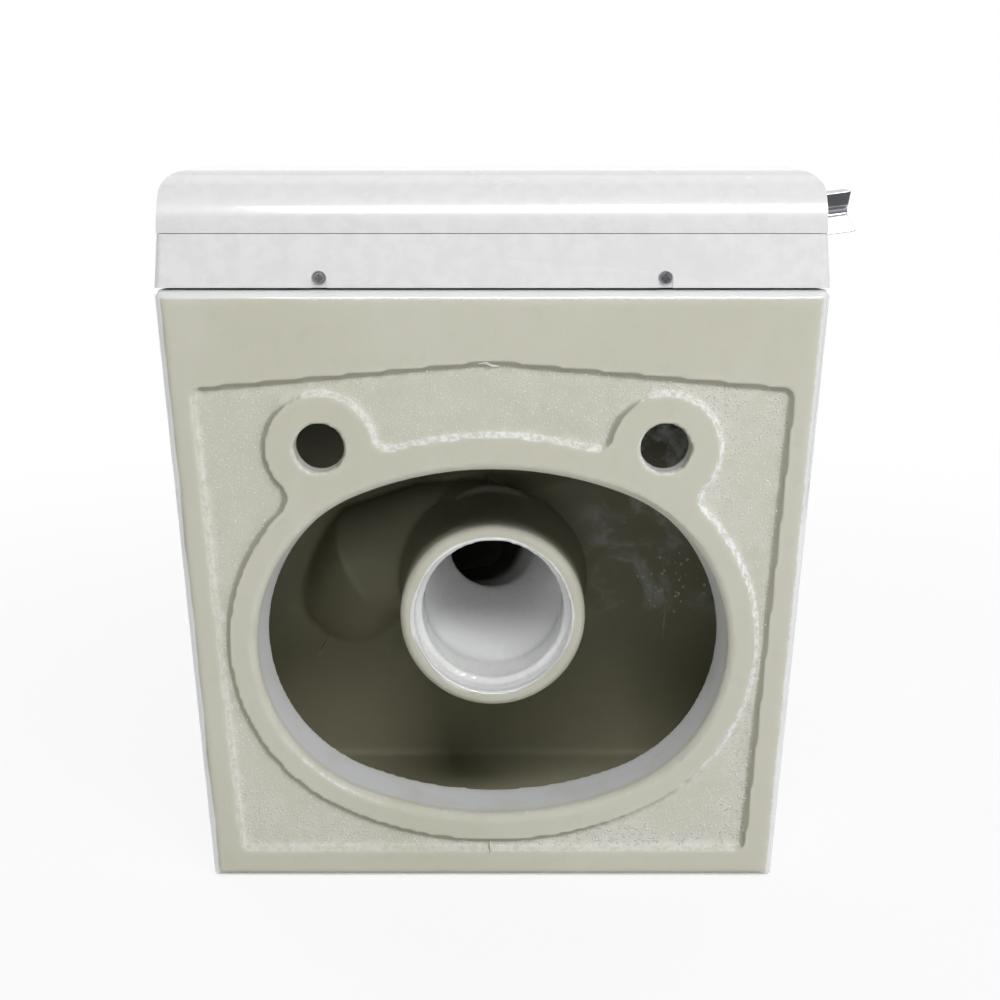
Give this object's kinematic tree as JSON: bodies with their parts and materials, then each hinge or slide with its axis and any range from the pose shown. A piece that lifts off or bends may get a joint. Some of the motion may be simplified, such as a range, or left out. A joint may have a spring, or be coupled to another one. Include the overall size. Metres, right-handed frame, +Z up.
{
  "type": "wall-hung bidet toilet",
  "caption": "Wall-hung china toilet with an oval rear recess and outlet spigot, and a seat unit with a wash nozzle, side knob, hinged seat and lid.",
  "frame": {"origin": "midway between the two wall bolt holes, on the plane of the back face that meets the wall", "axes": "+Y points at the wall, +Z up, +X towards the left hand of a seated user"},
  "size_m": [0.3753, 0.5687, 0.379],
  "materials": {
    "china": "white glaze outside, unglazed biscuit at the back",
    "rubber": "matt",
    "steel": "zinc plated",
    "grey_plastic": "moulded",
    "housing_white": "white gloss",
    "nozzle_white": "smooth",
    "chrome": "bright",
    "brass": "turned",
    "hose_plastic": "translucent tube",
    "seat_white": "white gloss"
  },
  "bodies": {
    "bowl": {"ceramic_bowl": "china", "deck_bushes": "rubber", "deck_nuts": "steel", "deck_bolts": "steel", "mounting_plate": "grey_plastic", "base_pads": "rubber", "chassis": "grey_plastic", "rear_housing": "housing_white", "top_cover": "housing_white", "housing_screws": "steel", "hinge_pins": "steel", "hinge_dampers": "grey_plastic", "nozzle_cylinder": "grey_plastic", "nozzle_saddles": "grey_plastic", "nozzle_seal": "rubber", "knob_escutcheon": "chrome", "valve_body": "brass", "inlet_connector": "brass", "supply_hose": "hose_plastic", "wash_hose": "hose_plastic", "hose_clips": "grey_plastic"},
    "knob": {"knob_handle": "chrome", "valve_spindle": "brass"},
    "nozzle": {"nozzle_barrel": "nozzle_white", "nozzle_tip": "nozzle_white", "nozzle_cap": "housing_white"},
    "seat": {"seat_ring": "seat_white", "seat_bumpers": "rubber"},
    "lid": {"lid_shell": "seat_white", "lid_bumpers": "rubber"}
  },
  "joints": [
    {"name": "lid_hinge", "type": "hinge", "parent": "bowl", "child": "lid", "pos_m": [0, -0.115, 0.125], "axis": [-1, 0, 0], "range_deg": [0, 95]},
    {"name": "seat_hinge", "type": "hinge", "parent": "bowl", "child": "seat", "pos_m": [0, -0.115, 0.125], "axis": [-1, 0, 0], "range_deg": [0, 86]},
    {"name": "knob_turn", "type": "hinge", "parent": "bowl", "child": "knob", "pos_m": [-0.18, -0.07, 0.1165], "axis": [-1, 0, 0], "range_deg": [-90, 90]},
    {"name": "nozzle_slide", "type": "slide", "parent": "bowl", "child": "nozzle", "axis": [0, -0.9397, -0.342], "range_m": [0, 0.056], "stiffness_N_per_m": 40, "springref_m": -0.02}
  ],
  "couplings": [
    {"joint": "seat_hinge", "follows": "lid_hinge", "ratio": 0.9}
  ]
}
